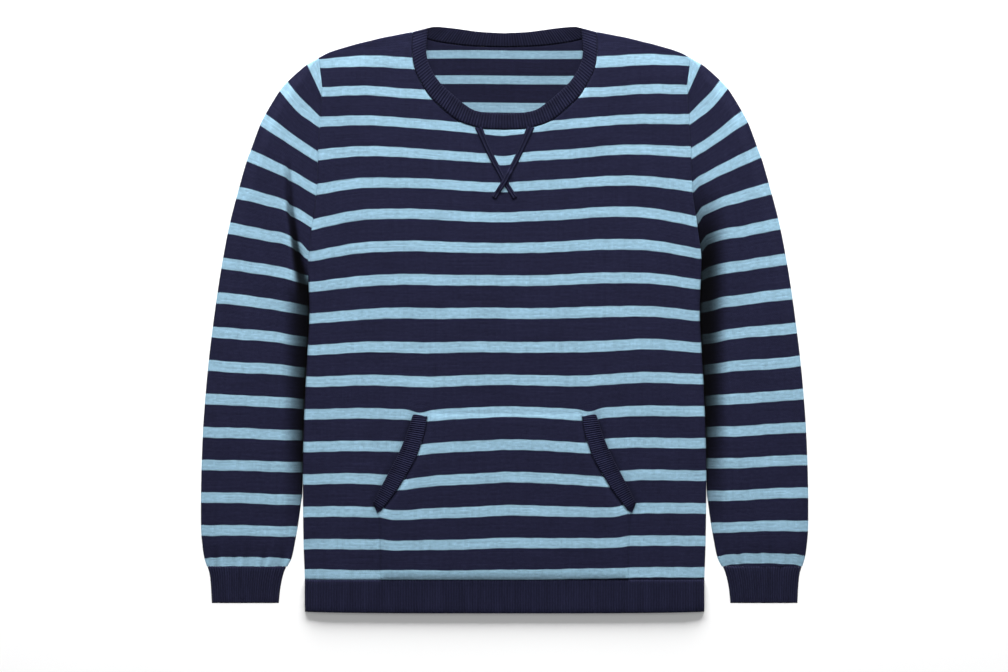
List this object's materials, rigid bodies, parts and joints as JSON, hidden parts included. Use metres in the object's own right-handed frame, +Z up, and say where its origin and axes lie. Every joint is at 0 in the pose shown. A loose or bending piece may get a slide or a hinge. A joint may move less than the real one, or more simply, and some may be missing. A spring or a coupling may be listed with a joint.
{
  "type": "striped jumper",
  "caption": "Long-sleeved knitted jumper lying flat, with a round ribbed neck, V insert, kangaroo pocket, ribbed cuffs and a ribbed hem.",
  "frame": {"origin": "middle of the box's underside, on the surface the jumper lies on", "axes": "+X across the jumper towards the wearer's left sleeve, +Y from the hem to the neck, +Z up off the surface, out of the front"},
  "size_m": [0.7296, 0.7046, 0.0097],
  "materials": {
    "body_knit": "fine jersey knit in navy with light blue stripes",
    "sleeve_knit": "fine jersey knit in navy with light blue stripes",
    "pocket_knit": "fine jersey knit in navy with light blue stripes",
    "neck_rib": "navy rib knit",
    "hem_rib": "navy rib knit",
    "cuff_rib": "navy rib knit",
    "trim_rib": "navy rib knit",
    "v_chain": "narrow navy linked chain of knit"
  },
  "bodies": {
    "root": {"front_panel": "body_knit", "back_panel": "body_knit", "sleeve_right": "sleeve_knit", "sleeve_left": "sleeve_knit", "pocket": "pocket_knit", "neck_band": "neck_rib", "hem_front": "hem_rib", "hem_back": "hem_rib", "cuff_right": "cuff_rib", "cuff_left": "cuff_rib", "pocket_trim_right": "trim_rib", "pocket_trim_left": "trim_rib", "v_band_right": "v_chain", "v_band_left": "v_chain"}
  },
  "joints": []
}
